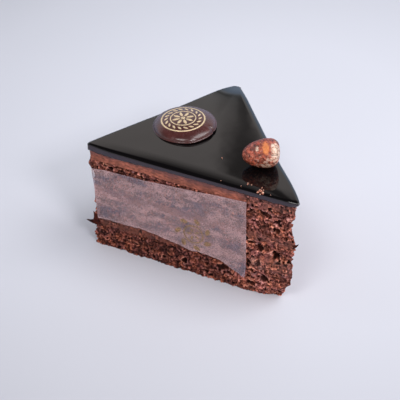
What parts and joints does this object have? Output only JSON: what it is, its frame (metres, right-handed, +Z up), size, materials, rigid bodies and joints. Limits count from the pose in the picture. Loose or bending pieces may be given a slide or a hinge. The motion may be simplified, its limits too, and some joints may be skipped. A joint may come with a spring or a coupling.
{
  "type": "slice of chocolate layer cake",
  "caption": "Wedge of glazed chocolate layer cake with sponge and cream layers, a chocolate button, a hazelnut and a strip of clear paper on one cut.",
  "frame": {"origin": "on the floor, under the middle of the slice's box", "axes": "+X from the straight outer side to the tip, -Y towards the cut that carries the paper, +Z up"},
  "size_m": [0.0919, 0.0886, 0.0698],
  "materials": {
    "sponge": "matt open crumb, dark reddish brown",
    "cream": "satin smooth cream, mid brown",
    "glaze": "mirror glaze, nearly black",
    "chocolate": "semi-gloss dark chocolate with a gold print",
    "nut": "roasted skin, part glossy",
    "paper": "thin translucent paper"
  },
  "bodies": {
    "root": {"sponge_bottom": "sponge", "cream_lower": "cream", "sponge_middle": "sponge", "cream_upper": "cream", "sponge_top": "sponge", "cream_top": "cream", "glaze": "glaze", "chocolate_button": "chocolate", "hazelnut": "nut", "paper_strip": "paper"}
  },
  "joints": []
}
